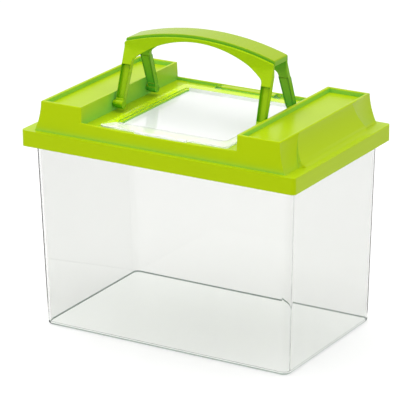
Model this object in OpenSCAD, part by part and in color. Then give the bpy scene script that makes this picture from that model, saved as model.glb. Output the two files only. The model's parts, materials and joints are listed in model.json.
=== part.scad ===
// Plastic pet keeper: a clear tapered tank, a moulded lift-off lid with two raised
// end blocks, a clear hinged hatch and a carrying handle made of two folding halves.
// Millimetres. +Z is up, the front faces -Y, and the origin is the centre of the tank's base.

/* [Tank] */
// Outside length of the tank at its base
tank_base_w = 209.6; // [204:0.1:211]
// Outside depth of the tank at its base
tank_base_d = 128.6; // [124:0.1:130]
// Outside length of the tank just under its rim
tank_neck_w = 219.0; // [215:0.1:220]
// Outside depth of the tank just under its rim
tank_neck_d = 132.2; // [129:0.1:134]
// Height of the tank, up to its rim, where the lid rests
tank_h = 153.2; // [120:0.1:200]
// Thickness of the rim
rim_t = 2; // [1.5:0.1:3]
// Thickness of the tank's walls
tank_wall = 2; // [1.4:0.1:2.6]
// Thickness of the tank's floor
tank_floor = 2.4; // [1.6:0.1:4]
// Radius of the tank's upright corners
tank_corner_r = 6; // [5:0.5:10]
// Radius between the floor and the walls, outside
tank_edge_r = 2.6; // [2:0.1:4]

/* [Lid] */
// Length of the lid over its skirt
lid_w = 231.2; // [229:0.2:236]
// Depth of the lid over its skirt
lid_d = 146.6; // [145:0.2:150]
// How far the skirt hangs below the tank's rim
skirt_drop = 10.3; // [6:0.1:20]
// Thickness of the lid's walls
lid_wall = 2; // [1.6:0.1:2.4]
// Corner radius of the skirt
skirt_r = 3.2; // [3:0.1:5]
// Gap between the skirt and the tank's rim
rim_gap = 0.4; // [0.3:0.05:0.8]
// Half length of the raised body at its foot
body_foot_x = 105.8; // [104:0.1:107]
// Half depth of the raised body at its foot
body_foot_y = 69.3; // [69:0.1:70]
// Height of the end blocks above the lid's ledge
block_h = 23.1; // [21:0.1:27]
// Half length over the end blocks' top edges
block_x = 100.7; // [98:0.1:102]
// Half depth over the end blocks' top edges
block_y = 67.4; // [66:0.1:68]
// Distance from the middle to each block's inner wall
well_x = 65.7; // [65.4:0.1:67]
// Depth of the shallow tray in each block's top
tray_depth = 3.7; // [2:0.1:4.2]
// Thickness of the lip around each tray
tray_lip = 2.3; // [1.6:0.1:3]
// Half depth of each end wall's flared apron at its foot
apron_y = 50; // [44:1:54]
// Half depth of the apron where it meets the block's top edge
apron_top_y = 40; // [34:1:46]
// Half length of the lid at the foot of the aprons
apron_foot_x = 110.4; // [109:0.1:111]
// Height of the front and back walls above the deck
wall_rise = 2.4; // [1.9:0.1:3.3]
// Dip of the front wall's top edge at its middle
wall_dip = 1.2; // [0.5:0.1:1.6]
// Height of the deck between the blocks above the ledge
deck_rise = 9; // [8.6:0.1:10.2]

/* [Hatch] */
// Length of the hatch plate
hatch_w = 108.2; // [100:0.1:108.6]
// Front edge of the hatch plate, from the middle
hatch_front_y = 61.4; // [58:0.1:61.5]
// Thickness of the hatch plate
hatch_t = 1.6; // [1.4:0.1:1.8]
// Depth of the rebate that the hatch lies in
rebate_depth = 0.3; // [0.2:0.1:0.8]
// Gap around the hatch plate in its rebate
hatch_gap = 1; // [0.6:0.1:1.2]
// Length of the opening under the hatch
opening_w = 91; // [80:1:92]
// Depth of the opening under the hatch
opening_d = 103; // [96:1:106]
// Gap between the hatch's sunk panel and the opening's edge
panel_gap = 0.8; // [0.5:0.1:1.2]
// How far the hatch's panel is sunk below its edge
panel_sink = 3; // [1.5:0.1:3.4]
// Length of the finger tab at the hatch's front
tab_w = 43; // [30:1:50]
// Reach of the finger tab, from the middle
tab_front_y = 65.6; // [64:0.1:65.8]

/* [Hatch hinge] */
// Length of the hinge bar on the deck
bar_w = 46; // [36:1:56]
// Hinge axis behind the middle
hinge_y = 62.6; // [62.4:0.1:62.8]
// Height of the hinge axis above the deck
hinge_rise = 0.5; // [0.4:0.1:0.6]
// Diameter of the hatch's hinge pins
hinge_pin_d = 2.4; // [2:0.1:2.6]
// Radial clearance of every pin in its hole
pin_clearance = 0.05; // [0.02:0.01:0.08]

/* [Handle] */
// Half length over the handle's legs at the foot
leg_foot_x = 63.4; // [62:0.1:63.6]
// Half length over the handle at its top corners
handle_x = 63.3; // [62:0.1:63.6]
// Inside of each leg at the foot, from the middle
leg_inner_foot_x = 56.6; // [56:0.1:57.5]
// Inside of each leg under the arch, from the middle
leg_inner_top_x = 55.2; // [55:0.1:56]
// Height of the arch's middle above the pivots
arch_rise = 56.7; // [50:0.1:66]
// Radius of the arch's top
arch_r = 207; // [200:1:230]
// Depth of the arch at its middle, from its top to its underside
arch_depth = 4.7; // [3.8:0.1:6]
// Radius of the arch's underside
under_r = 88; // [84:1:92]
// Distance of each pair of pivots from the middle
pivot_y = 23.5; // [22:0.1:25]
// Height of the pivots above the deck
pivot_rise = 5.8; // [5.6:0.1:6]
// Diameter of the handle's pivot pins
pivot_pin_d = 4; // [3.4:0.1:4.4]
// Back face of the grip, from the middle
grip_back_y = 10.6; // [9:0.1:12]
// Front edge of the grip, from the middle
grip_front_y = 8.6; // [8:0.1:9]
// Thickness of the front half's arch
front_arch_t = 2.1; // [1.6:0.1:2.4]
// How far the front half's arch stays below the grip's top
seam_step = 1; // [0.6:0.1:1.4]
// Gap between the two closed halves
seam_gap = 0.35; // [0.3:0.05:0.5]
// Depth of each leg, front to back
leg_t = 4; // [3.6:0.1:4.4]
// How far below the arch's top the legs bend outwards
bend_drop = 15.7; // [14:0.1:18]
// How far below the arch's top the grip's ends reach
grip_drop = 14.1; // [12:0.1:16]
// Depth of the recess in each leg's outer face
outer_pocket = 1.8; // [1:0.1:2]
// Thickness of the web between a leg's two recesses
web_t = 1.2; // [1:0.1:1.6]

/* [Hidden] */
$fn = 48;
eps = 0.01;
rim_z = tank_h;
skirt_z = rim_z - skirt_drop;
ledge_z = rim_z + lid_wall;
block_z = ledge_z + block_h;
tray_z = block_z - tray_depth;
deck_z = ledge_z + deck_rise;
wall_top_z = deck_z + wall_rise;
hinge_z = deck_z + hinge_rise;
pivot_z = deck_z + pivot_rise;
arch_z = pivot_z + arch_rise;
under_z = arch_z - arch_depth;
bend_z = arch_z - bend_drop;
grip_end_z = arch_z - grip_drop;
skirt_wall = 1.8;
rim_w = lid_w - 2*skirt_wall - 2*rim_gap;
rim_d = lid_d - 2*skirt_wall - 2*rim_gap;
rim_r = 1.6;
cove_steps = 10;
apron_taper = 0.8;
base_step_low = 0.3;
base_step_in = 0.7;
base_step_mid = 0.22;
rebate_w = hatch_w + 2*hatch_gap;
rebate_z = deck_z - rebate_depth;
hatch_r = 3;
hinge_room = 3.2;
rebate_front_y = hatch_front_y + hatch_gap;
rebate_back_y = hinge_y + hinge_room;
ledge_plate_t = 2.6;
hatch_lift = 0.1;
hatch_under_z = deck_z - rebate_depth + hatch_lift;
hatch_top_z = hatch_under_z + hatch_t;
opening_r = 5;
opening_lip_t = 1.6;
opening_lip_rise = 1.4;
opening_lip_z = ledge_z + opening_lip_rise;
tab_gap = 0.7;
hole_spare = 0.6;
wall_inner_y = body_foot_y - (body_foot_y - block_y)*(deck_z - ledge_z)/block_h - lid_wall;
knuckle_d = 3.8;
knuckle_w = 4.5;
knuckle_gap = 0.4;
hinge_gap = 1.0;
knuckle_pocket = 1.5;
hinge_pin_l = 4;
bar_wall = 2;
bar_top_wall = 1.8;
bar_front_y = hinge_y - bar_wall;
bar_back_y = 66.1;
bar_top_z = hinge_z + bar_top_wall;
plate_back_y = bar_front_y - hinge_gap;
panel_w = opening_w - 2*panel_gap;
panel_d = opening_d - 2*panel_gap;
panel_r = opening_r - panel_gap;
panel_wall = 1.2;
panel_top_z = hatch_top_z - panel_sink;
finger_lip_h = 0.9;
finger_lip_t = 1.4;
pin_engage = 2.9;
boss_wall = 2;
boss_r = pivot_pin_d/2 + boss_wall;
boss_l = 2;
foot_r = 3.3;
spacer_r = 2.7;
spacer_gap = 0.4;
inner_pocket = leg_t - web_t - outer_pocket;
leg_rim = 0.9;
arch_corner_r = 1.6;
under_fillet_r = 5;
grip_wall = 2;
grip_rib_t = 1.4;
grip_rib_pitch = 18;
handle_top_margin = 4;
leg_thin_drop = 9;
leg_thin_z = bend_z - leg_thin_drop;
lean = atan((pivot_y - (grip_back_y - leg_t/2))/(bend_z - pivot_z));

lime = [0.66, 0.78, 0.03];
leaf = [0.60, 0.77, 0.06];
clear = [0.93, 0.95, 0.95, 0.35];

// ---- shared shapes

// A rectangle with round corners, centred.
module rounded_outline(w, d, r) {
    square([w - 2*r, d], center = true);
    square([w, d - 2*r], center = true);
    for (sx = [-1, 1], sy = [-1, 1])
        translate([sx*(w/2 - r), sy*(d/2 - r)])
            circle(r);
}

// A flat slab with round corners, standing on height z.
module slab(w, d, r, z, h) {
    translate([0, 0, z])
        linear_extrude(h)
            rounded_outline(w, d, r);
}

// A box from one corner to the opposite one.
module span_box(low, high) {
    translate(low)
        cube([high[0] - low[0], high[1] - low[1], high[2] - low[2]]);
}

// An outline drawn in X and Z, made into a bar that runs along Y.
module along_y(y0, y1) {
    translate([0, y1, 0])
        rotate([90, 0, 0])
            linear_extrude(y1 - y0)
                children();
}

// An outline drawn in Y and Z, made into a bar that runs along X.
module along_x(x0, x1) {
    translate([x0, 0, 0])
        rotate([90, 0, 90])
            linear_extrude(x1 - x0)
                children();
}

// A round rod along X.
module rod_x(r, x0, x1, y, z) {
    translate([x0, y, z])
        rotate([0, 90, 0])
            cylinder(r = r, h = x1 - x0);
}

// ---- tank

// A tapered tub with a rounded base, solid: half sizes at the base and at the neck.
module tub_solid(base_x, base_y, neck_x, neck_y, corner_r, edge_r, z0, z1) {
    hull() {
        for (sx = [-1, 1], sy = [-1, 1]) {
            translate([sx*(base_x - corner_r), sy*(base_y - corner_r), z0])
                cylinder(r = corner_r - edge_r*base_step_in, h = 1, $fn = 40);
            translate([sx*(base_x - corner_r), sy*(base_y - corner_r), z0 + edge_r*base_step_low])
                cylinder(r = corner_r - edge_r*base_step_mid, h = 1, $fn = 40);
            translate([sx*(base_x - corner_r), sy*(base_y - corner_r), z0 + edge_r])
                cylinder(r = corner_r, h = 0.1, $fn = 40);
            translate([sx*(neck_x - corner_r), sy*(neck_y - corner_r), z1 - 0.1])
                cylinder(r = corner_r, h = 0.1, $fn = 40);
        }
    }
}

module tank() {
    color(clear)
        difference() {
            union() {
                tub_solid(tank_base_w/2, tank_base_d/2, tank_neck_w/2, tank_neck_d/2,
                    tank_corner_r, tank_edge_r, 0, rim_z - eps);
                slab(rim_w, rim_d, rim_r, rim_z - rim_t, rim_t);
            }
            tub_solid(tank_base_w/2 - tank_wall, tank_base_d/2 - tank_wall,
                tank_neck_w/2 - tank_wall, tank_neck_d/2 - tank_wall,
                tank_corner_r - tank_wall, tank_edge_r, tank_floor, rim_z + 1);
        }
}

// ---- lid

// Half length of an end wall at height z: a cove that is upright at the block's top edge.
function cove_r(foot) = (pow(foot - block_x, 2) + pow(block_h, 2))/(2*(foot - block_x));
function cove_x(foot, z) = block_x + cove_r(foot) - sqrt(pow(cove_r(foot), 2) - pow(block_z - z, 2));
function cove_side(foot, inset, side) = [
    for (i = [0:cove_steps])
        let (z = ledge_z + block_h*i/cove_steps)
            [side*(cove_x(foot, z) - inset), z]
];

// The lid's long section, in X and Z, down to the skirt; inset moves its faces inwards.
module long_section(foot, inset) {
    right = cove_side(foot, inset, 1);
    left = cove_side(foot, inset, -1);
    polygon(concat(
        [[-foot + inset, skirt_z - 1], [foot - inset, skirt_z - 1]],
        right,
        [for (i = [cove_steps:-1:0]) left[i]]
    ));
}

// The lid's cross section, in Y and Z.
module cross_section(inset) {
    foot = body_foot_y - inset;
    top = block_y - inset;
    polygon([[-foot, skirt_z - 1], [foot, skirt_z - 1], [foot, ledge_z],
        [top, block_z], [-top, block_z], [-foot, ledge_z]]);
}

// The room that an apron's slanted sides leave: wider at the foot, and narrower outwards.
module apron_room(inset) {
    foot = apron_y - inset;
    top = apron_top_y - inset;
    near = foot + apron_taper*(body_foot_x - block_x);
    far = foot - apron_taper*(apron_foot_x - body_foot_x);
    intersection() {
        along_x(-lid_w/2, lid_w/2)
            polygon([[-foot, skirt_z - 1], [foot, skirt_z - 1], [foot, ledge_z],
                [top, block_z], [-top, block_z], [-foot, ledge_z]]);
        translate([0, 0, skirt_z - 1])
            linear_extrude(block_z - skirt_z + 1)
                polygon([
                    [-apron_foot_x, -far], [-block_x, -near], [block_x, -near], [apron_foot_x, -far],
                    [apron_foot_x, far], [block_x, near], [-block_x, near], [-apron_foot_x, far]
                ]);
    }
}

// The raised body as one solid, or, with an inset, the space inside its walls.
module raised_body(inset) {
    intersection() {
        union() {
            along_y(-body_foot_y, body_foot_y) long_section(body_foot_x, inset);
            intersection() {
                along_y(-apron_y, apron_y) long_section(apron_foot_x, inset);
                apron_room(inset);
            }
        }
        along_x(-lid_w/2, lid_w/2) cross_section(inset);
    }
}

// What is cut from above: the well between the blocks, the dip in the front wall and the trays.
module cut_from_above() {
    span_box([-well_x, -lid_d/2, wall_top_z], [well_x, lid_d/2, block_z + 1]);
    span_box([-well_x, -wall_inner_y, deck_z], [well_x, wall_inner_y, block_z + 1]);
    dip_r = (pow(well_x, 2) + pow(wall_dip, 2))/(2*wall_dip);
    intersection() {
        translate([0, 0, wall_top_z - wall_dip + dip_r])
            rotate([90, 0, 0])
                cylinder(r = dip_r, h = lid_d/2, $fn = 720);
        span_box([-well_x, -lid_d/2, deck_z], [well_x, 0, block_z]);
    }
    for (side = [0, 180])
        rotate([0, 0, side])
            span_box([well_x + tray_lip, -block_y + tray_lip, tray_z],
                [block_x - tray_lip, block_y - tray_lip, block_z + 1]);
}

// The hollow under the blocks and the deck.
module hollow_below() {
    intersection() {
        raised_body(lid_wall);
        union() {
            span_box([-lid_w/2, -lid_d/2, skirt_z - 2], [lid_w/2, lid_d/2, deck_z - lid_wall]);
            for (side = [0, 180])
                rotate([0, 0, side])
                    span_box([well_x + lid_wall, -lid_d/2, skirt_z], [lid_w/2, lid_d/2, tray_z - lid_wall]);
        }
    }
}

// The hatch's rebate: its plate under the deck and the downturned lip around the opening.
module rebate_floor() {
    floor_z = rebate_z - ledge_plate_t;
    span_box([-rebate_w/2 - lid_wall, -rebate_front_y - lid_wall, floor_z],
        [rebate_w/2 + lid_wall, wall_inner_y + eps, deck_z - eps]);
    span_box([-tab_w/2 - tab_gap - lid_wall, -wall_inner_y - eps, floor_z],
        [tab_w/2 + tab_gap + lid_wall, -rebate_front_y, deck_z - eps]);
    slab(opening_w + 2*opening_lip_t, opening_d + 2*opening_lip_t, opening_r + opening_lip_t,
        opening_lip_z, rebate_z - opening_lip_z);
}

// What is cut for the hatch: the rebate, the tab's notch, the opening and the hinge pockets.
module hatch_cuts() {
    span_box([-rebate_w/2, -rebate_front_y, rebate_z], [rebate_w/2, rebate_back_y, block_z]);
    span_box([-tab_w/2 - tab_gap, -wall_inner_y, rebate_z],
        [tab_w/2 + tab_gap, -rebate_front_y + 1, block_z]);
    slab(opening_w, opening_d, opening_r, opening_lip_z - 1, block_z - opening_lip_z);
    for (side = [-1, 1])
        translate([side*(bar_w/2 + knuckle_w/2 + knuckle_gap/2), hinge_y, rebate_z])
            cube([knuckle_w + 2*knuckle_gap + 1, knuckle_d + 1.4, 2*knuckle_pocket], center = true);
}

// The bar that carries the hatch's pins.
module hinge_bar() {
    span_box([-bar_w/2, bar_front_y, rebate_z - eps], [bar_w/2, bar_back_y, bar_top_z]);
}

// A blind hole for a hatch pin in each end of the bar.
module hinge_holes() {
    for (side = [0, 180])
        rotate([0, 0, side])
            rod_x(hinge_pin_d/2 + pin_clearance, bar_w/2 - hinge_pin_l - hole_spare,
                bar_w/2 + knuckle_gap, side == 0 ? hinge_y : -hinge_y, hinge_z);
}

module pivot_bosses() {
    for (side = [0, 180], y = [-pivot_y, pivot_y])
        rotate([0, 0, side])
            rod_x(boss_r, well_x + lid_wall/2, well_x + lid_wall + boss_l, y, pivot_z);
}

module pivot_holes() {
    for (side = [0, 180], y = [-pivot_y, pivot_y])
        rotate([0, 0, side])
            rod_x(pivot_pin_d/2 + pin_clearance, well_x - 1, well_x + lid_wall + boss_l - hole_spare,
                y, pivot_z);
}

module skirt_and_ledge() {
    difference() {
        slab(lid_w, lid_d, skirt_r, skirt_z, ledge_z - skirt_z);
        slab(rim_w + 2*rim_gap, rim_d + 2*rim_gap, rim_r, skirt_z - 1, rim_z - skirt_z + 1);
        raised_body(lid_wall);
    }
}

module lid() {
    color(lime)
        difference() {
            union() {
                difference() {
                    union() {
                        skirt_and_ledge();
                        difference() {
                            intersection() {
                                raised_body(0);
                                span_box([-lid_w/2, -lid_d/2, rim_z], [lid_w/2, lid_d/2, block_z + 1]);
                            }
                            cut_from_above();
                            hollow_below();
                        }
                        rebate_floor();
                        pivot_bosses();
                    }
                    hatch_cuts();
                }
                hinge_bar();
            }
            pivot_holes();
            hinge_holes();
        }
}

// ---- hatch

// The hatch's edge, a flat frame that rests on the rebate.
module hatch_frame() {
    plate_d = hatch_front_y + plate_back_y;
    difference() {
        translate([0, (plate_back_y - hatch_front_y)/2, 0])
            slab(hatch_w, plate_d, hatch_r, hatch_under_z, hatch_t);
        sunk_panel_room();
    }
}

// The hollow above the sunk panel.
module sunk_panel_room() {
    slab(panel_w - 2*panel_wall, panel_d - 2*panel_wall, panel_r - panel_wall,
        panel_top_z, block_z - panel_top_z);
}

module hatch() {
    color(clear) {
        hatch_frame();
        // panel sunk into the opening
        difference() {
            slab(panel_w, panel_d, panel_r, panel_top_z - hatch_t, panel_sink + eps);
            sunk_panel_room();
        }
        // finger tab with an upturned edge
        span_box([-tab_w/2, -tab_front_y, hatch_under_z], [tab_w/2, -hatch_front_y + 1, hatch_top_z]);
        span_box([-tab_w/2, -tab_front_y, hatch_under_z],
            [tab_w/2, -tab_front_y + finger_lip_t, hatch_top_z + finger_lip_h]);
        // knuckles and pins
        for (side = [0, 180])
            rotate([0, 0, side]) {
                y = side == 0 ? hinge_y : -hinge_y;
                near = side == 0 ? plate_back_y - 1 : -hinge_y;
                far = side == 0 ? hinge_y : -plate_back_y + 1;
                x0 = bar_w/2 + knuckle_gap;
                rod_x(knuckle_d/2, x0, x0 + knuckle_w, y, hinge_z);
                rod_x(hinge_pin_d/2, bar_w/2 - hinge_pin_l, x0 + eps, y, hinge_z);
                span_box([x0, near, hatch_under_z], [x0 + knuckle_w, far, hatch_top_z]);
            }
    }
}

// ---- handle: both halves are drawn as the back one, with outward as +Y

leg_half = leg_t/2/cos(lean);

// Rounds the outward corners of an outline.
module round_corners(r) {
    offset(r = r)
        offset(delta = -r)
            children();
}

// The handle seen from the front: a round-topped arch on two legs, with its top lowered by drop.
module handle_outline(drop) {
    difference() {
        round_corners(arch_corner_r)
            intersection() {
                translate([0, arch_z - drop - arch_r])
                    circle(arch_r, $fn = 360);
                polygon([[-leg_foot_x, pivot_z - foot_r], [leg_foot_x, pivot_z - foot_r],
                    [handle_x, arch_z + handle_top_margin], [-handle_x, arch_z + handle_top_margin]]);
            }
        round_corners(under_fillet_r)
            intersection() {
                translate([0, under_z - under_r])
                    circle(under_r, $fn = 180);
                polygon([[-leg_inner_foot_x, pivot_z - 3*foot_r], [leg_inner_foot_x, pivot_z - 3*foot_r],
                    [leg_inner_top_x, under_z], [-leg_inner_top_x, under_z]]);
            }
    }
}

// A strip along the leaning legs, between two distances from their middle plane.
module leg_strip(outer_y, a, b) {
    top_y = outer_y - leg_half;
    polygon([[pivot_y + a, pivot_z], [pivot_y + b, pivot_z], [top_y + b, bend_z], [top_y + a, bend_z]]);
}

// One folding half without its grip: legs, feet, pins and an upright arch from inner_y to outer_y.
module handle_half(inner_y, outer_y, drop) {
    difference() {
        union() {
            intersection() {
                along_y(-lid_d, lid_d) handle_outline(drop);
                along_x(-lid_w, lid_w)
                    difference() {
                        union() {
                            leg_strip(outer_y, -leg_half, leg_half);
                            translate([inner_y, bend_z - eps])
                                square([outer_y - inner_y, arch_z - bend_z + 1]);
                        }
                        translate([inner_y - 2*leg_t, leg_thin_z])
                            square([2*leg_t, arch_z]);
                    }
            }
            for (side = [0, 180])
                rotate([0, 0, side])
                    handle_foot(side == 0 ? pivot_y : -pivot_y);
        }
        // recesses that leave a web between two thin edges on each leg
        for (side = [-1, 1]) {
            intersection() {
                along_y(-lid_d, lid_d) leg_recess_outline(side);
                along_x(-lid_w, lid_w) {
                    leg_strip(outer_y, leg_half - outer_pocket/cos(lean), leg_half + leg_t);
                    leg_strip(outer_y, -leg_half - leg_t, -leg_half + inner_pocket/cos(lean));
                }
            }
        }
    }
}

// The outline of the recess in a leg, seen from the front.
module leg_recess_outline(side) {
    z0 = pivot_z + foot_r + 1;
    z1 = leg_thin_z - 2;
    polygon([[side*(leg_inner_foot_x + leg_rim), z0], [side*(leg_foot_x - leg_rim), z0],
        [side*(handle_x - leg_rim), z1], [side*(leg_inner_top_x + leg_rim), z1]]);
}

// The round foot of a leg with its spacer and its pivot pin.
module handle_foot(y) {
    rod_x(foot_r, leg_inner_foot_x, leg_foot_x, y, pivot_z);
    rod_x(spacer_r, leg_foot_x - 1, well_x - spacer_gap, y, pivot_z);
    rod_x(pivot_pin_d/2, leg_foot_x - 1, well_x + pin_engage, y, pivot_z);
}

module handle_front() {
    inner_y = grip_front_y + seam_gap;
    color(leaf)
        rotate([0, 0, 180])
            handle_half(inner_y, inner_y + front_arch_t, seam_step);
}

// The grip block across the top, with its front edge at the seam.
module grip_solid() {
    intersection() {
        along_y(-grip_front_y, grip_back_y) handle_outline(0);
        span_box([-lid_w, -lid_d, grip_end_z], [lid_w, lid_d, arch_z + 1]);
    }
}

// The hollow under the grip, split into cells by cross ribs.
module grip_cells() {
    intersection() {
        along_y(-grip_front_y + grip_wall, grip_back_y - grip_wall)
            translate([0, arch_z - arch_r])
                circle(arch_r - grip_wall, $fn = 360);
        for (i = [-3:2])
            span_box([i*grip_rib_pitch + grip_rib_t/2, -lid_d, pivot_z],
                [(i + 1)*grip_rib_pitch - grip_rib_t/2, lid_d, arch_z]);
    }
}

module handle_back() {
    color(leaf)
        difference() {
            union() {
                handle_half(grip_back_y - grip_wall, grip_back_y, 0);
                grip_solid();
            }
            grip_cells();
        }
}

tank();
lid();
hatch();
handle_front();
handle_back();
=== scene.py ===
import json
import math

import bmesh
import bpy
from mathutils import Matrix, Vector


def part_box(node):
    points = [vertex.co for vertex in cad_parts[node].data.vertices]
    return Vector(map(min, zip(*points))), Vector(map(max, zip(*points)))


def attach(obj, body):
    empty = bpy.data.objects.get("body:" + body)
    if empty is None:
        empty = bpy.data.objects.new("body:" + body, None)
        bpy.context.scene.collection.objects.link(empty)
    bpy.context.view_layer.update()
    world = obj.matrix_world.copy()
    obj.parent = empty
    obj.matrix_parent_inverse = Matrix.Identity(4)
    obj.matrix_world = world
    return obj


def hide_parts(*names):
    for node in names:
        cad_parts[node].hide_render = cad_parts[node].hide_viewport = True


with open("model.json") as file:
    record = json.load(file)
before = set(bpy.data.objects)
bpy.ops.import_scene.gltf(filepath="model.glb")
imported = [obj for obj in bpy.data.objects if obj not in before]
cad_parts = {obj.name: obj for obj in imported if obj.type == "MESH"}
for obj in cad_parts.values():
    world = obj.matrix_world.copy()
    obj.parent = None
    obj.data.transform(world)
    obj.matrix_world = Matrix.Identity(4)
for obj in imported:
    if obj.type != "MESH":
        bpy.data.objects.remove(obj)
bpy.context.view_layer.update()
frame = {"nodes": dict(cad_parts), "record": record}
scene = bpy.context.scene
scene.view_settings.view_transform = "Standard"

# ---- Studio
# A sheet of white paper swept under the keeper, with a white room around it. Soft light
# falls from a large lamp overhead, and from two smaller ones at the front left and the right.

floor_size = 12.0
floor_rise = 0.0002  # the paper lies inside the tank's floor plate, so that no two faces coincide
paper_colour = (0.72, 0.72, 0.72, 1)
paper_glow = 0.32  # how strongly the paper glows under the lamps
far_glow = 0.52  # and how strongly where their light is gone
lamp_reach = 0.9  # from here outwards the lamps fade
far_reach = 2.2  # and from here outwards their light is gone
room_light = 0.59  # how strongly the room lights the keeper
room_white = 1.0  # how bright the room looks


def add_node(tree, kind, inputs=None, **settings):
    """Adds a shader node; each input is a plain value, or another node's output to link to it."""
    node = tree.nodes.new(kind)
    for label, value in settings.items():
        setattr(node, label, value)
    for socket, value in (inputs or {}).items():
        if isinstance(value, bpy.types.NodeSocket):
            tree.links.new(value, node.inputs[socket])
        else:
            node.inputs[socket].default_value = value
    return node


def seen_by_eye(tree):
    """A factor of 1 for rays from the camera, off gloss or through clear plastic, else 0."""
    path = add_node(tree, "ShaderNodeLightPath").outputs
    first = add_node(tree, "ShaderNodeMath", {0: path["Is Camera Ray"], 1: path["Is Glossy Ray"]},
        operation="MAXIMUM")
    both = add_node(tree, "ShaderNodeMath", {0: first.outputs[0], 1: path["Is Transmission Ray"]},
        operation="MAXIMUM")
    return both.outputs[0]


paper = bpy.data.materials.new("white_paper")
paper.use_nodes = True
tree = paper.node_tree
tree.nodes.clear()
# where the lamps no longer reach, the paper glows more, so that it stays white
place = add_node(tree, "ShaderNodeTexCoord")
reach = add_node(tree, "ShaderNodeVectorMath", {0: place.outputs["Object"]}, operation="LENGTH")
fade = add_node(tree, "ShaderNodeMapRange", {
    "Value": reach.outputs["Value"],
    "From Min": lamp_reach, "From Max": far_reach,
    "To Min": paper_glow, "To Max": far_glow})
seen_glow = add_node(tree, "ShaderNodeMath", {0: seen_by_eye(tree), 1: fade.outputs["Result"]},
    operation="MULTIPLY")
glow = add_node(tree, "ShaderNodeEmission", {"Strength": seen_glow.outputs[0]})
matt = add_node(tree, "ShaderNodeBsdfDiffuse", {"Color": paper_colour})
both = add_node(tree, "ShaderNodeAddShader", {0: matt.outputs[0], 1: glow.outputs[0]})
add_node(tree, "ShaderNodeOutputMaterial", {"Surface": both.outputs[0]})

mesh = bpy.data.meshes.new("floor")
bm = bmesh.new()
bmesh.ops.create_grid(bm, x_segments=1, y_segments=1, size=floor_size/2,
    matrix=Matrix.Translation((0, 0, floor_rise)))
bm.to_mesh(mesh)
bm.free()
floor = bpy.data.objects.new("floor", mesh)
floor.data.materials.append(paper)
scene.collection.objects.link(floor)

# the room lights the keeper softly, and looks white where it is seen
world = bpy.data.worlds.new("white_room")
scene.world = world
world.use_nodes = True
tree = world.node_tree
tree.nodes.clear()
level = add_node(tree, "ShaderNodeMapRange", {
    "Value": seen_by_eye(tree), "To Min": room_light, "To Max": room_white})
room = add_node(tree, "ShaderNodeBackground", {
    "Color": (1, 1, 1, 1), "Strength": level.outputs["Result"]})
add_node(tree, "ShaderNodeOutputWorld", {"Surface": room.outputs[0]})


def soft_lamp(name, size, watts, place, aim):
    """Adds a square area lamp of the given size that points from place to aim."""
    lamp = bpy.data.lights.new(name, "AREA")
    lamp.shape = "SQUARE"
    lamp.size = size
    lamp.energy = watts
    lamp_object = bpy.data.objects.new(name, lamp)
    lamp_object.location = place
    lamp_object.rotation_euler = (Vector(aim) - Vector(place)).to_track_quat("-Z", "Y").to_euler()
    scene.collection.objects.link(lamp_object)


soft_lamp("overhead_lamp", size=1.5, watts=12.0, place=(-0.15, 0.10, 1.25), aim=(0, 0, 0.1))
soft_lamp("front_lamp", size=0.8, watts=5.2, place=(-0.75, -1.15, 0.75), aim=(0, 0, 0.12))
soft_lamp("right_lamp", size=0.6, watts=3.6, place=(1.2, -0.5, 0.6), aim=(0, 0, 0.12))

# ---- Camera
# It stands at the front right of the keeper and looks slightly down on the lid. Its long
# lens keeps the keeper's upright edges almost parallel.

camera_azimuth = math.radians(31.06)
camera_height = math.radians(19.36)
camera_roll = math.radians(-0.52)
camera_distance = 2.0884
camera_target = Vector((0.00077, -0.00388, 0.09513))
camera_lens = 246.13
sensor_width = 36.0

back = Vector((
    math.sin(camera_azimuth)*math.cos(camera_height),
    -math.cos(camera_azimuth)*math.cos(camera_height),
    math.sin(camera_height)))
right = Vector((0, 0, 1)).cross(back).normalized()
up = back.cross(right)
turned_right = right*math.cos(camera_roll) + up*math.sin(camera_roll)
turned_up = up*math.cos(camera_roll) - right*math.sin(camera_roll)
turn = Matrix((turned_right, turned_up, back)).transposed().to_4x4()
camera_data = bpy.data.cameras.new("camera")
camera_data.lens = camera_lens
camera_data.sensor_width = sensor_width
camera_data.sensor_fit = "HORIZONTAL"
camera_data.clip_start = 0.1
camera_data.clip_end = 50
camera = bpy.data.objects.new("camera", camera_data)
camera.matrix_world = Matrix.Translation(camera_target + back*camera_distance) @ turn
scene.collection.objects.link(camera)
scene.camera = camera

# ---- Tank
# One thin-walled tub of clear polystyrene, moulded in one shot with slightly sloping walls,
# rounded corners and an out-turned rim on which the lid rests.

tank_base = Vector((0.2096, 0.1286))
tank_neck = Vector((0.2190, 0.1322))
tank_wall = 0.002
tank_corner = 0.006
tank_edge = 0.0026
rim_thickness = 0.002
smooth_angle = math.radians(32)  # edges that turn further than this stay sharp
near = 1e-5  # two places closer than this count as one
wall_tint = (0.868, 0.872, 0.860, 1)
# painted shade on the end walls, painted light on the floor, and a painted dark line of shade on the
# rounded edge around the floor
end_wall_painted_shade = (0.820, 0.826, 0.812, 1)
floor_painted_light = (0.985, 1.0, 0.985, 1)
edge_painted_shade = (0.18, 0.23, 0.20, 1)
clear_shadow = (0.99, 0.995, 0.99, 1)  # the light that each face lets into its shadow


def shader_group(name, inputs, outputs):
    """A new shader node group with (name, kind) sockets; gives its tree and both end nodes."""
    group = bpy.data.node_groups.new(name, "ShaderNodeTree")
    for in_out, sockets in (("INPUT", inputs), ("OUTPUT", outputs)):
        for label, kind in sockets:
            group.interface.new_socket(name=label, in_out=in_out, socket_type="NodeSocket" + kind)
    return group, group.nodes.new("NodeGroupInput"), group.nodes.new("NodeGroupOutput")


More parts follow.
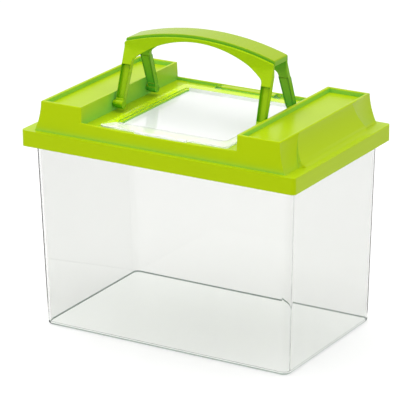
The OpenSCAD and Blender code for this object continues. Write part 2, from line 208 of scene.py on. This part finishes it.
# the faint waves that a moulded clear wall has
ripple_group, given, result = shader_group(
    "moulded_ripple", [("Height", "Float")], [("Normal", "Vector")])
place = add_node(ripple_group, "ShaderNodeTexCoord")
ripple = add_node(ripple_group, "ShaderNodeTexNoise", {
    "Vector": place.outputs["Object"], "Scale": 14.0, "Detail": 1.0})
bump = add_node(ripple_group, "ShaderNodeBump", {
    "Strength": 0.04, "Distance": given.outputs["Height"], "Height": ripple.outputs[0]})
ripple_group.links.new(bump.outputs["Normal"], result.inputs["Normal"])


def clear_plastic(name, tint, roughness, ior, ripple_height):
    """Clear plastic that lets light through in its shadow, with a faint moulded ripple."""
    material = bpy.data.materials.new(name)
    material.use_nodes = True
    tree = material.node_tree
    shader = tree.nodes["Principled BSDF"]
    shader.inputs["Base Color"].default_value = tint
    shader.inputs["Roughness"].default_value = roughness
    shader.inputs["Transmission Weight"].default_value = 1.0
    shader.inputs["IOR"].default_value = ior
    waves = add_node(tree, "ShaderNodeGroup", {"Height": ripple_height}, node_tree=ripple_group)
    tree.links.new(waves.outputs["Normal"], shader.inputs["Normal"])
    path = add_node(tree, "ShaderNodeLightPath")
    through = add_node(tree, "ShaderNodeBsdfTransparent", {"Color": clear_shadow})
    mix = add_node(tree, "ShaderNodeMixShader", {
        0: path.outputs["Is Shadow Ray"], 1: shader.outputs[0], 2: through.outputs[0]})
    tree.links.new(mix.outputs[0], tree.nodes["Material Output"].inputs["Surface"])
    return material


def face_outward(bm):
    """Turns all faces of closed solids outward, once their vertices have been moved."""
    bm.normal_update()
    bmesh.ops.recalc_face_normals(bm, faces=bm.faces)
    bm.normal_update()


def add_piece(name, bm, material, body):
    """Makes a piece of a bmesh, smooth by angle, and puts it on its body."""
    mesh = bpy.data.meshes.new(name)
    bm.to_mesh(mesh)
    bm.free()
    mesh.materials.append(material)
    mesh.shade_smooth()
    mesh.set_sharp_from_angle(angle=smooth_angle)
    piece = bpy.data.objects.new(name, mesh)
    scene.collection.objects.link(piece)
    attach(piece, body)
    return piece


# the outer skin is a tapered block with round edges; its top is opened, and the edge of that
# mouth is turned out into the rim
tank_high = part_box("tank")[1]
neck_z = tank_high[2] - rim_thickness
bm = bmesh.new()
bmesh.ops.create_cube(bm, size=1)
for v in bm.verts:
    at_base = v.co.z < 0
    half = tank_base/2 if at_base else tank_neck/2
    v.co = (math.copysign(half.x, v.co.x), math.copysign(half.y, v.co.y), 0 if at_base else neck_z)
upright = [e for e in bm.edges if abs(e.verts[0].co.z - e.verts[1].co.z) > neck_z/2]
bmesh.ops.bevel(bm, geom=upright, offset=tank_corner, segments=10, profile=0.5,
    affect="EDGES", material=-1)
base_edges = [e for e in bm.edges if max(v.co.z for v in e.verts) < near]
bmesh.ops.bevel(bm, geom=base_edges, offset=tank_edge, segments=5, profile=0.5,
    affect="EDGES", material=-1)
top_face = [f for f in bm.faces if min(v.co.z for v in f.verts) > neck_z - near]
bmesh.ops.delete(bm, geom=top_face, context="FACES_ONLY")
mouth = [e for e in bm.edges if e.is_boundary]
grown = bmesh.ops.extrude_edge_only(bm, edges=mouth)
rim_reach = Vector((tank_high[0] - tank_neck.x/2, tank_high[1] - tank_neck.y/2))
for v in [g for g in grown["geom"] if isinstance(g, bmesh.types.BMVert)]:
    v.co.x += math.copysign(rim_reach.x, v.co.x)
    v.co.y += math.copysign(rim_reach.y, v.co.y)
face_outward(bm)
floor_face = min(bm.faces, key=lambda f: f.calc_center_median().z)
if floor_face.normal.z > 0:
    bmesh.ops.reverse_faces(bm, faces=bm.faces)

# the end walls are painted darker than the long ones as painted shade, the floor lighter as painted
# light, and the thick rounded edge around it darkest as a painted dark line; how far a face tilts up or
# down tells them apart
wall_tilt = 0.08
edge_tilt = 0.25
last_edge_tilt = 0.96
floor_tilt = 0.99
clear_tank = clear_plastic("clear_polystyrene", wall_tint, roughness=0.0, ior=1.3,
    ripple_height=0.00001)
tree = clear_tank.node_tree
place = add_node(tree, "ShaderNodeTexCoord")
facing = add_node(tree, "ShaderNodeSeparateXYZ", {0: place.outputs["Normal"]})
tilt = add_node(tree, "ShaderNodeMath", {0: facing.outputs["Z"]}, operation="ABSOLUTE")
foot = add_node(tree, "ShaderNodeValToRGB", {"Fac": tilt.outputs[0]})
steps = foot.color_ramp.elements
steps[0].position, steps[0].color = edge_tilt, edge_painted_shade
steps[1].position, steps[1].color = floor_tilt, floor_painted_light
steps.new(last_edge_tilt).color = edge_painted_shade
endwise = add_node(tree, "ShaderNodeMath", {0: facing.outputs["X"]}, operation="ABSOLUTE")
walls = add_node(tree, "ShaderNodeMix", {
    "Factor": endwise.outputs[0], "A": wall_tint, "B": end_wall_painted_shade}, data_type="RGBA")
tilted = add_node(tree, "ShaderNodeMapRange", {
    "Value": tilt.outputs[0], "From Min": wall_tilt, "From Max": edge_tilt})
painted_tints = add_node(tree, "ShaderNodeMix", {
    "Factor": tilted.outputs["Result"], "A": walls.outputs["Result"], "B": foot.outputs["Color"]},
    data_type="RGBA")
tree.links.new(painted_tints.outputs["Result"], tree.nodes["Principled BSDF"].inputs["Base Color"])

tank = add_piece("tank_shell", bm, clear_tank, "tank")
shell = tank.modifiers.new("wall", "SOLIDIFY")
shell.thickness = tank_wall
shell.offset = -1
shell.use_even_offset = True
weighting = tank.modifiers.new("flat_walls", "WEIGHTED_NORMAL")
weighting.weight = 100
weighting.keep_sharp = True
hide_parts("tank")

# ---- Lid
# A lime lid of moulded polypropylene: a skirt and ledge, two raised end blocks with shallow
# trays, and a sunk deck between them with the hatch's opening and its hinge bar.

lid_edge = 0.0007
long_edge = 0.007  # edges shorter than this stay sharp
sharp_turn = math.radians(25)  # and so do edges that turn less than this
flat_turn = math.radians(0.6)
facing_down = -0.5  # edges whose faces all look down further than this stay sharp
well_half = 0.0657
deck_half = 0.0672
deck_top = 0.1642
weld = 1e-6
cloud_roughness = 0.1
hollow_reach = 0.03
deep_sky = 0.35  # a hollow that sees less of the sky than this takes the painted shade colour in full
open_sky = 0.85  # and one that sees more than this takes the least of it
upright_tilt = 0.2  # faces that look up less than this count as upright
flat_tilt = 0.8  # and those that look up more than this as flat

# dyed plastic, a little cloudy at random; its upright faces in hollows are painted a darker
# green as painted shade, the more so the less sky its ambient occlusion sees
dye_and_painted_shade_group, given, result = shader_group(
    "dye_and_painted_shade",
    [("Colour", "Color"), ("Cloudy Colour", "Color"), ("Painted Shade Colour", "Color"),
        ("Least Painted Shade", "Float"), ("Polish", "Float")],
    [("Colour", "Color"), ("Roughness", "Float"), ("Normal", "Vector")])
place = add_node(dye_and_painted_shade_group, "ShaderNodeTexCoord")
cloud = add_node(dye_and_painted_shade_group, "ShaderNodeTexNoise", {
    "Vector": place.outputs["Object"], "Scale": 18.0, "Detail": 3.0})
tint = add_node(dye_and_painted_shade_group, "ShaderNodeMix", {
    "Factor": cloud.outputs[0], "A": given.outputs["Colour"], "B": given.outputs["Cloudy Colour"]},
    data_type="RGBA")
# painted shade: the less sky a point sees, the more of the painted shade colour it takes, on upright
# faces only
hollow = add_node(dye_and_painted_shade_group, "ShaderNodeAmbientOcclusion", {"Distance": hollow_reach}, samples=8)
depth = add_node(dye_and_painted_shade_group, "ShaderNodeMapRange", {
    "Value": hollow.outputs["AO"], "From Min": deep_sky, "From Max": open_sky,
    "To Min": 1.0, "To Max": given.outputs["Least Painted Shade"]})
facing = add_node(dye_and_painted_shade_group, "ShaderNodeSeparateXYZ", {0: place.outputs["Normal"]})
upright = add_node(dye_and_painted_shade_group, "ShaderNodeMapRange", {
    "Value": facing.outputs["Z"], "From Min": upright_tilt, "From Max": flat_tilt,
    "To Min": 1.0, "To Max": 0.0})
both = add_node(dye_and_painted_shade_group, "ShaderNodeMath", {
    0: depth.outputs["Result"], 1: upright.outputs["Result"]}, operation="MULTIPLY")
paint_shade = add_node(dye_and_painted_shade_group, "ShaderNodeMix", {
    "Factor": both.outputs[0], "A": tint.outputs["Result"], "B": given.outputs["Painted Shade Colour"]},
    data_type="RGBA")
polish = add_node(dye_and_painted_shade_group, "ShaderNodeMath", {
    0: cloud.outputs[0], 1: cloud_roughness, 2: given.outputs["Polish"]},
    operation="MULTIPLY_ADD")
grain = add_node(dye_and_painted_shade_group, "ShaderNodeTexNoise", {
    "Vector": place.outputs["Object"], "Scale": 900.0})
bump = add_node(dye_and_painted_shade_group, "ShaderNodeBump", {
    "Strength": 0.05, "Distance": 0.0002, "Height": grain.outputs[0]})
dye_and_painted_shade_group.links.new(paint_shade.outputs["Result"], result.inputs["Colour"])
dye_and_painted_shade_group.links.new(polish.outputs[0], result.inputs["Roughness"])
dye_and_painted_shade_group.links.new(bump.outputs["Normal"], result.inputs["Normal"])


def green_plastic(name, colour, cloudy_colour, painted_shade_colour, least_painted_shade, least_roughness):
    """Glossy dyed plastic whose colour, painted shade and polish come from the shared shader group."""
    material = bpy.data.materials.new(name)
    material.use_nodes = True
    tree = material.node_tree
    shader = tree.nodes["Principled BSDF"]
    dye = add_node(tree, "ShaderNodeGroup", {
        "Colour": colour, "Cloudy Colour": cloudy_colour, "Painted Shade Colour": painted_shade_colour,
        "Least Painted Shade": least_painted_shade, "Polish": least_roughness}, node_tree=dye_and_painted_shade_group)
    tree.links.new(dye.outputs["Colour"], shader.inputs["Base Color"])
    tree.links.new(dye.outputs["Roughness"], shader.inputs["Roughness"])
    tree.links.new(dye.outputs["Normal"], shader.inputs["Normal"])
    shader.inputs["IOR"].default_value = 1.49
    shader.inputs["Specular IOR Level"].default_value = 0.2
    shader.inputs["Specular Tint"].default_value = (1.0, 1.0, 0.12, 1)
    return material


# each plastic's painted shade colour is the shade painted on its upright faces in hollows
lime = green_plastic("lime_polypropylene", colour=(0.425, 0.585, 0.002, 1),
    cloudy_colour=(0.40, 0.56, 0.002, 1), painted_shade_colour=(0.24, 0.64, 0.09, 1),
    least_painted_shade=0.0, least_roughness=0.25)

# the long outer edges are rounded; those of the deck, where the hatch lies, stay sharp
bm = bmesh.new()
bm.from_mesh(frame["nodes"]["lid"].data)
bmesh.ops.remove_doubles(bm, verts=bm.verts, dist=weld)
bmesh.ops.dissolve_limit(bm, angle_limit=flat_turn, verts=bm.verts, edges=bm.edges)
rounded = bm.edges.layers.float.new("bevel_weight_edge")
for edge in bm.edges:
    middle = (edge.verts[0].co + edge.verts[1].co)/2
    in_well = abs(middle.x) < well_half + lid_edge and abs(middle.y) < deck_half
    in_deck = in_well and middle.z < deck_top + lid_edge
    if in_deck or edge.calc_length() < long_edge or edge.calc_face_angle() < sharp_turn:
        continue
    if max(face.normal.z for face in edge.link_faces) > facing_down and edge.is_convex:
        edge[rounded] = 1.0
lid = add_piece("lid_moulding", bm, lime, "lid")
rounding = lid.modifiers.new("rounding", "BEVEL")
rounding.width = lid_edge
rounding.segments = 3
rounding.limit_method = "WEIGHT"
rounding.use_clamp_overlap = False
weighting = lid.modifiers.new("flat_faces", "WEIGHTED_NORMAL")
weighting.keep_sharp = True
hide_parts("lid")

# ---- Hatch
# A flap moulded in clear plastic, with a frosted panel sunk into the opening; its front and
# right margins are painted paler, as a painted reflection. Its flat edge lies in the deck's rebate,
# a finger tab stands out in front, and two knuckles with pins hang it on the lid's hinge bar behind.

hatch_plate = 0.0016
hatch_corner = 0.003
hatch_edge = 0.0003
hatch_front = 0.0614
hatch_back = 0.0596
hatch_half = 0.0541
panel_half = Vector((0.0447, 0.0507))
panel_wall = 0.0012
panel_sink = 0.003
tab_half = 0.0215
tab_lip = 0.0014
tab_lip_rise = 0.0002
root = 0.0005  # how far the tab and the knuckles' arms reach into the plate
knuckle_radius = 0.0019
knuckle_length = 0.0045
knuckle_gap = 0.0004
hinge_bar_half = 0.023
hinge_pin_radius = 0.0012
hinge_pin_length = 0.004
rod_sides = 32

hatch_low, hatch_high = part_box("hatch")
joints = frame["record"]["behaviour"]["joints"]
hinge = next(j for j in joints if j["name"] == "hatch_hinge")["pos_m"]
plate_top = hatch_low[2] + panel_sink + hatch_plate
plate_low = plate_top - hatch_plate


def box_between(bm, low, high):
    """Adds a closed box with the given lowest and highest corners."""
    for v in bmesh.ops.create_cube(bm, size=1)["verts"]:
        v.co = [high[i] if v.co[i] > 0 else low[i] for i in range(3)]


def rod_along_x(bm, radius, start, end, y, z):
    """Adds a closed round rod that runs along X."""
    middle = Matrix.Translation(((start + end)/2, y, z))
    bmesh.ops.create_cone(bm, cap_ends=True, segments=rod_sides, radius1=radius, radius2=radius,
        depth=abs(end - start), matrix=middle @ Matrix.Rotation(math.radians(90), 4, "Y"))


# the plate, with its panel sunk above and standing out below
bm = bmesh.new()
box_between(bm, (-hatch_half, -hatch_front, plate_low), (hatch_half, hatch_back, plate_top))
upper_face = max(bm.faces, key=lambda f: f.calc_center_median().z)
lower_face = min(bm.faces, key=lambda f: f.calc_center_median().z)
hollow_half = panel_half - Vector((panel_wall, panel_wall))
for face, half in ((upper_face, hollow_half), (lower_face, panel_half)):
    bmesh.ops.inset_region(bm, faces=[face], thickness=hatch_half - half.x)
    for v in face.verts:
        v.co.y = math.copysign(half.y, v.co.y)
    grown = bmesh.ops.extrude_face_region(bm, geom=[face])
    bmesh.ops.delete(bm, geom=[face], context="FACES_ONLY")
    sunk = [g for g in grown["geom"] if isinstance(g, bmesh.types.BMVert)]
    bmesh.ops.translate(bm, vec=(0, 0, -panel_sink), verts=sunk)
upright = [e for e in bm.edges if abs(e.verts[0].co.z - e.verts[1].co.z) > hatch_plate/2]
bmesh.ops.bevel(bm, geom=upright, offset=hatch_corner, segments=6, profile=0.5,
    affect="EDGES", material=-1)
face_outward(bm)

# the panel is frosted; the front and right margins and the tab take a paler, part-clear material as a
# painted reflection; the rest is clear
frosted_number = 1
painted_reflection_number = 2
for face in bm.faces:
    middle = face.calc_center_median()
    if abs(middle.x) < panel_half.x + near and abs(middle.y) < panel_half.y + near:
        face.material_index = frosted_number
    elif middle.y < -panel_half.y or middle.x > panel_half.x:
        face.material_index = painted_reflection_number

box_between(bm, (-tab_half, hatch_low[1], plate_low), (tab_half, -hatch_front + root, plate_top))
box_between(bm, (-tab_half, hatch_low[1], plate_low + tab_lip_rise),
    (tab_half, hatch_low[1] + tab_lip, hatch_high[2]))
for side in (-1, 1):
    inner = side*(hinge_bar_half + knuckle_gap)
    outer = inner + side*knuckle_length
    rod_along_x(bm, knuckle_radius, inner, outer, hinge[1], hinge[2])
    rod_along_x(bm, hinge_pin_radius, side*(hinge_bar_half - hinge_pin_length), inner,
        hinge[1], hinge[2])
    box_between(bm, (min(inner, outer), hatch_back - root, plate_low),
        (max(inner, outer), hinge[1], plate_top))
# the tab takes the same paler material, a painted reflection
for face in bm.faces:
    if face.calc_center_median().y < -hatch_front:
        face.material_index = painted_reflection_number

clear_hatch = clear_plastic("clear_hatch", (0.97, 0.98, 0.96, 1), roughness=0.02, ior=1.08,
    ripple_height=0.0001)

frosted = bpy.data.materials.new("frosted_hatch_panel")
frosted.use_nodes = True
tree = frosted.node_tree
shader = tree.nodes["Principled BSDF"]
shader.inputs["Transmission Weight"].default_value = 0.1
shader.inputs["Roughness"].default_value = 0.06
shader.inputs["IOR"].default_value = 1.5
place = add_node(tree, "ShaderNodeTexCoord")
mist = add_node(tree, "ShaderNodeTexNoise", {
    "Vector": place.outputs["Object"], "Scale": 30.0, "Detail": 2.0})
tint = add_node(tree, "ShaderNodeMix", {
    "Factor": mist.outputs[0], "A": (0.95, 0.955, 0.955, 1), "B": (0.91, 0.92, 0.915, 1)},
    data_type="RGBA")
tree.links.new(tint.outputs["Result"], shader.inputs["Base Color"])

# a paler, part-clear plastic for the front and right margins and the tab: a painted reflection
pale_painted_reflection = clear_plastic("hatch_edge_painted_reflection", (0.96, 0.97, 0.95, 1), roughness=0.06, ior=1.4,
    ripple_height=0.0002)
pale_painted_reflection.node_tree.nodes["Principled BSDF"].inputs["Transmission Weight"].default_value = 0.6

hatch = add_piece("hatch_flap", bm, clear_hatch, "hatch")
hatch.data.materials.append(frosted)
hatch.data.materials.append(pale_painted_reflection)
rounding = hatch.modifiers.new("rounding", "BEVEL")
rounding.width = hatch_edge
rounding.segments = 2
rounding.limit_method = "ANGLE"
rounding.angle_limit = math.radians(40)
weighting = hatch.modifiers.new("flat_faces", "WEIGHTED_NORMAL")
weighting.keep_sharp = True
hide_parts("hatch")

# ---- Handle halves
# Two bails of the lid's plastic that close into one carrying handle. The back one holds the
# whole hollow grip, the front one is a plain frame, and each turns on pins in the end blocks.

arch_radius = 0.207
arch_corner = 0.0016
arch_depth = 0.0047
arch_columns = 12
corner_steps = 6
under_radius = 0.088
under_fillet = 0.005
handle_half = 0.0633
bend_drop = 0.0157  # the legs lean outwards from this far below the top
leg_inside_top = 0.0552
leg_inside_foot = 0.0566
leg_spread = 0.0001  # how far a leg's inside has moved outwards where the fillet meets it
leg_depth = 0.004
leg_rim = 0.0005  # the edge that a recess leaves along its leg
recess_drop = 0.0277  # a recess ends this far below the top
recess_rise = 0.001  # and starts this far above the foot
recess_draft = 0.00001
outer_pocket = 0.0024
inner_pocket = 0.0004
foot_radius = 0.0033
spacer_radius = 0.0027
spacer_gap = 0.0004
pivot_radius = 0.0020
pin_engage = 0.0029
pin_root = 0.001  # how far the spacer and the pin reach into the leg
sheet_depth = 0.001  # a first depth, which each vertex then leaves for its real place
facing_along_y = 0.8  # a leg's front and back faces look at least this much along Y
cut_slack = 1e-7

# the front bail's painted shade colour is a dark green: painted shade for the hollows of its leg
# recesses
front_leaf = green_plastic("front_leaf_polypropylene", colour=(0.37, 0.57, 0.002, 1),
    cloudy_colour=(0.34, 0.54, 0.002, 1), painted_shade_colour=(0.09, 0.38, 0.004, 1),
    least_painted_shade=0.12, least_roughness=0.23)
# painted shade: the back bail is the front bail's plastic painted darker, and its upright faces take at
# least half of its painted shade colour
shaded_back_leaf = green_plastic("back_leaf_painted_shade", colour=(0.32, 0.455, 0.002, 1),
    cloudy_colour=(0.30, 0.44, 0.002, 1), painted_shade_colour=(0.08, 0.42, 0.03, 1),
    least_painted_shade=0.5, least_roughness=0.23)

handle_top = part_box("handle_back")[1][2]
back_fold = next(j for j in joints if j["name"] == "handle_back_fold")
pivot = [abs(c) for c in back_fold["pos_m"]]
bend = handle_top - bend_drop


def on_circle(x, z, radius, angle):
    """The point in X and Z at an angle on a circle."""
    return x + radius*math.cos(angle), z + radius*math.sin(angle)


def arch_strip(bm, drop, foot_z):
    """Adds one flat strip of faces, the arch and both legs seen from the front, top lowered by drop."""
    top_middle = handle_top - drop - arch_radius
    under_middle = handle_top - arch_depth - under_radius
    fillet_x = leg_inside_top + leg_spread - under_fillet
    fillet_z = under_middle + math.sqrt((under_radius - under_fillet)**2 - fillet_x**2)
    fillet_start = math.atan2(fillet_z - under_middle, fillet_x)
    corner_x = handle_half - arch_corner
    corner_z = top_middle + math.sqrt((arch_radius - arch_corner)**2 - corner_x**2)
    corner_start = math.atan2(corner_z - top_middle, corner_x)
    outer = []
    inner = []
    for i in range(arch_columns + 1):
        angle = corner_start + (math.pi/2 - corner_start)*(1 - i/arch_columns)
        outer.append(on_circle(0, top_middle, arch_radius, angle))
        angle = fillet_start + (math.pi/2 - fillet_start)*(1 - i/arch_columns)
        inner.append(on_circle(0, under_middle, under_radius, angle))
    for i in range(1, corner_steps + 1):
        outer.append(on_circle(corner_x, corner_z, arch_corner, corner_start*(1 - i/corner_steps)))
        inner.append(on_circle(fillet_x, fillet_z, under_fillet, fillet_start*(1 - i/corner_steps)))
    outer.append((handle_half, foot_z))
    inner.append((leg_inside_foot, foot_z))
    ends = [bm.verts.new((x, 0, z)) for x, z in (outer[0], inner[0])]
    edge = bm.edges.new(ends)
    for out_point, in_point in zip(outer[1:], inner[1:]):
        grown = bmesh.ops.extrude_edge_only(bm, edges=[edge])["geom"]
        edge = next(g for g in grown if isinstance(g, bmesh.types.BMEdge))
        new_ends = [v for v in grown if isinstance(v, bmesh.types.BMVert)]
        new_ends.sort(key=lambda v: (v.co - ends[0].co).length)
        new_ends[0].co = (out_point[0], 0, out_point[1])
        new_ends[1].co = (in_point[0], 0, in_point[1])
        ends = new_ends
    bmesh.ops.mirror(bm, geom=bm.verts[:] + bm.edges[:] + bm.faces[:], merge_dist=weld, axis="X")
    face_outward(bm)


def cut_across(bm, place, across, drop_beyond=False, drop_before=False):
    """Cuts the whole mesh by a plane, and drops what lies beyond or before it if asked."""
    bmesh.ops.bisect_plane(bm, geom=bm.verts[:] + bm.edges[:] + bm.faces[:], dist=cut_slack,
        plane_co=place, plane_no=across, clear_outer=drop_beyond, clear_inner=drop_before)


def add_bail(bm, facing, inner_y, outer_y, drop, top=None):
    """Adds one half's upright arch and leaning legs with their recesses; facing is -1 or 1."""
    lean = math.atan2(pivot[1] - outer_y + leg_depth/2, bend - pivot[2])
    half_depth = leg_depth/2/math.cos(lean)
    slope = (pivot[1] + half_depth - outer_y)/(bend - pivot[2])
    kink = bend - (inner_y + 2*half_depth - outer_y)/slope
    recess_top = handle_top - recess_drop
    recess_low = pivot[2] + foot_radius + recess_rise
    part = bmesh.new()
    arch_strip(part, drop, pivot[2])
    for height in (bend, kink, recess_top, recess_low):
        cut_across(part, (0, 0, height), (0, 0, 1))
    if top:
        cut_across(part, (0, 0, top), (0, 0, 1), drop_beyond=True)
    bmesh.ops.solidify(part, geom=part.faces[:], thickness=sheet_depth)
    for v in part.verts:
        outer = outer_y + slope*max(0, bend - v.co.z)
        inner = max(inner_y, outer - 2*half_depth)
        v.co.y = facing*(outer if abs(v.co.y) < sheet_depth/2 else inner)
    face_outward(part)
    legs = [f for f in part.faces
        if recess_low < f.calc_center_median().z < recess_top and abs(f.normal.y) > facing_along_y]
    for face in legs:
        depth = outer_pocket if face.normal.y*facing > 0 else inner_pocket
        bmesh.ops.inset_individual(part, faces=[face], thickness=leg_rim)
        bmesh.ops.inset_individual(part, faces=[face], thickness=recess_draft, depth=-depth)
    leg_side = handle_half - pin_root
    for side in (-1, 1):
        for radius, start, end in (
                (foot_radius, leg_inside_foot, handle_half),
                (spacer_radius, leg_side, well_half - spacer_gap),
                (pivot_radius, leg_side, well_half + pin_engage)):
            rod_along_x(part, radius, side*start, side*end, facing*pivot[1], pivot[2])
    scrap = bpy.data.meshes.new("scrap")
    part.to_mesh(scrap)
    part.free()
    bm.from_mesh(scrap)
    bpy.data.meshes.remove(scrap)


def finish_half(name, bm, material, body, edge):
    """Puts a handle half on its body, with rounded edges, in place of its node."""
    piece = add_piece(name, bm, material, body)
    rounding = piece.modifiers.new("rounding", "BEVEL")
    rounding.width = edge
    rounding.segments = 3
    rounding.limit_method = "ANGLE"
    rounding.angle_limit = math.radians(38)
    rounding.use_clamp_overlap = False
    weighting = piece.modifiers.new("flat_faces", "WEIGHTED_NORMAL")
    weighting.keep_sharp = True
    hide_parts(body)


grip_front = 0.0086
grip_back = 0.0106
grip_wall = 0.002
grip_drop = 0.0141  # the grip's ends reach this far below the top
grip_overlap = 0.002  # how far the back half's legs reach up into the grip
grip_skin = 0.00005  # how far their back faces stay inside the grip's
grip_rib = 0.0014
grip_pitch = 0.018
seam_gap = 0.00035
seam_step = 0.0022  # the front half's arch stays this far below the grip's top
front_arch = 0.0021
front_edge = 0.0003
back_edge = 0.0005
facing_floor = -0.3  # the grip's underside looks down at least this much
cells = range(-3, 3)

front_face = grip_front + seam_gap
bm = bmesh.new()
add_bail(bm, -1, front_face, front_face + front_arch, seam_step)
finish_half("front_bail", bm, front_leaf, "handle_front", front_edge)

# the grip is cut along its walls and ribs, and each cell under it is pushed up to its roof
cell_front = -grip_front + grip_wall
cell_back = grip_back - grip_wall
roof = arch_radius - grip_wall
bm = bmesh.new()
arch_strip(bm, 0, pivot[2])
cut_across(bm, (0, 0, handle_top - grip_drop), (0, 0, 1), drop_before=True)
bmesh.ops.solidify(bm, geom=bm.faces[:], thickness=sheet_depth)
for v in bm.verts:
    v.co.y = -grip_front if abs(v.co.y) < sheet_depth/2 else grip_back
face_outward(bm)
for wall_y in (cell_front, cell_back):
    cut_across(bm, (0, wall_y, 0), (0, 1, 0))
for i in range(cells.start, cells.stop + 1):
    for side in (-1, 1):
        cut_across(bm, (i*grip_pitch + side*grip_rib/2, 0, 0), (1, 0, 0))
for i in cells:
    low_x = i*grip_pitch + grip_rib/2
    high_x = (i + 1)*grip_pitch - grip_rib/2
    mouth = []
    for face in bm.faces:
        middle = face.calc_center_median()
        inside = low_x < middle.x < high_x and cell_front < middle.y < cell_back
        if inside and face.normal.z < facing_floor:
            mouth.append(face)
    grown = bmesh.ops.extrude_face_region(bm, geom=mouth)
    bmesh.ops.delete(bm, geom=mouth, context="FACES")
    for v in [g for g in grown["geom"] if isinstance(g, bmesh.types.BMVert)]:
        v.co.z = handle_top - arch_radius + math.sqrt(roof**2 - v.co.x**2)
face_outward(bm)
add_bail(bm, 1, cell_back, grip_back - grip_skin, 0, top=handle_top - grip_drop + grip_overlap)
finish_half("back_bail", bm, shaded_back_leaf, "handle_back", back_edge)
